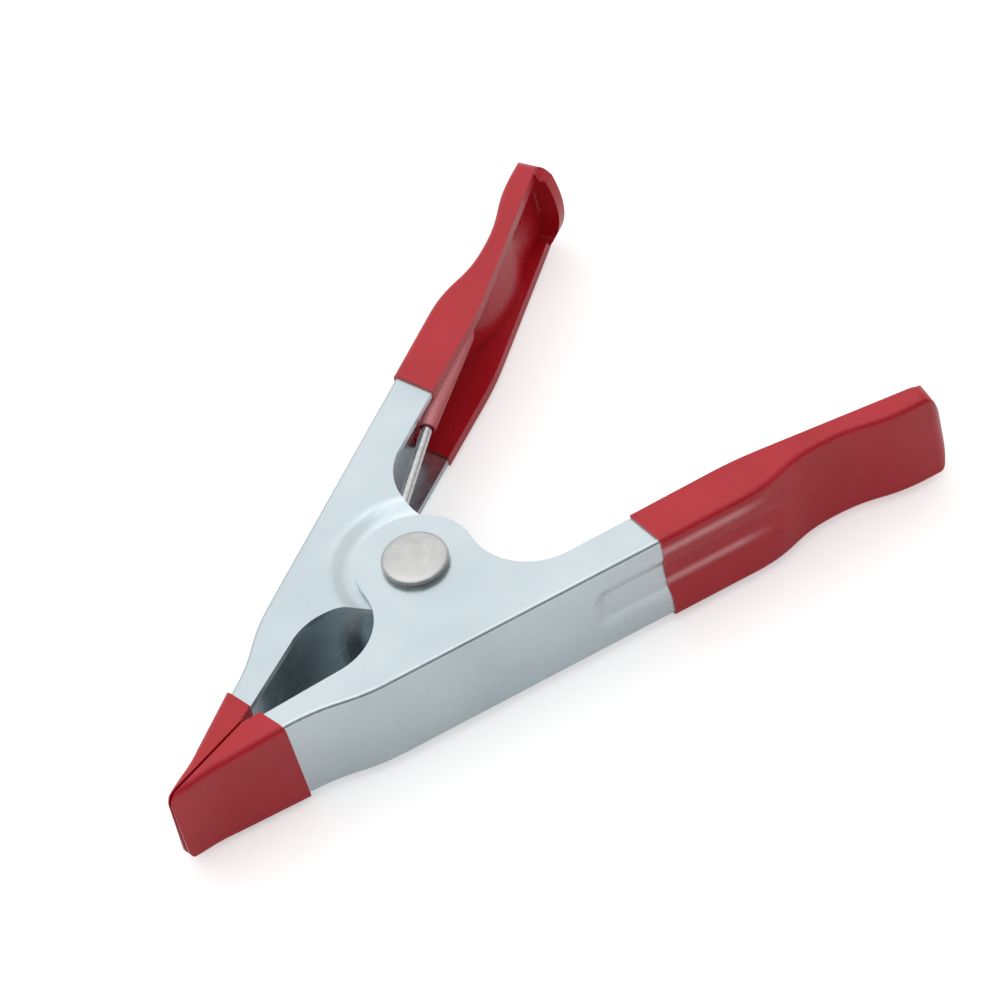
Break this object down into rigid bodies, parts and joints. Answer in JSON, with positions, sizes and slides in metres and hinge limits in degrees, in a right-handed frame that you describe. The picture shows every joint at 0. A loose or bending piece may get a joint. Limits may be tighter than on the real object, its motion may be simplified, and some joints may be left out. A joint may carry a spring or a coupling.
{
  "type": "spring clamp",
  "caption": "Small spring clamp of two pressed steel channel levers on a rivet, sprung shut by a torsion spring, with red dipped vinyl grips and jaw tips.",
  "frame": {"origin": "on the pivot axis, on the outer face of the rivet head that the clamp lies on", "axes": "+X from the pivot towards the handles along the line that halves the angle between the levers, +Y towards the inner lever, +Z along the rivet, up from the surface that the clamp lies on"},
  "size_m": [0.0962, 0.0648, 0.0151],
  "materials": {
    "plated_sheet": "satin zinc plate",
    "red_vinyl": "soft satin dipped coat",
    "rivet_steel": "satin",
    "spring_wire": "bright drawn wire"
  },
  "bodies": {
    "outer_half": {"outer_lever": "plated_sheet", "outer_handle_sleeve": "red_vinyl", "outer_jaw_tip": "red_vinyl", "pivot_rivet": "rivet_steel", "torsion_spring": "spring_wire"},
    "inner_half": {"inner_lever": "plated_sheet", "inner_handle_sleeve": "red_vinyl", "inner_jaw_tip": "red_vinyl"}
  },
  "joints": [
    {"name": "jaw_hinge", "type": "hinge", "parent": "outer_half", "child": "inner_half", "pos_m": [0, 0, 0.00755], "axis": [0, 0, -1], "range_deg": [0, 54], "stiffness_Nm_per_rad": 0.24, "springref_deg": -68.75, "deforming": ["torsion_spring"]}
  ]
}
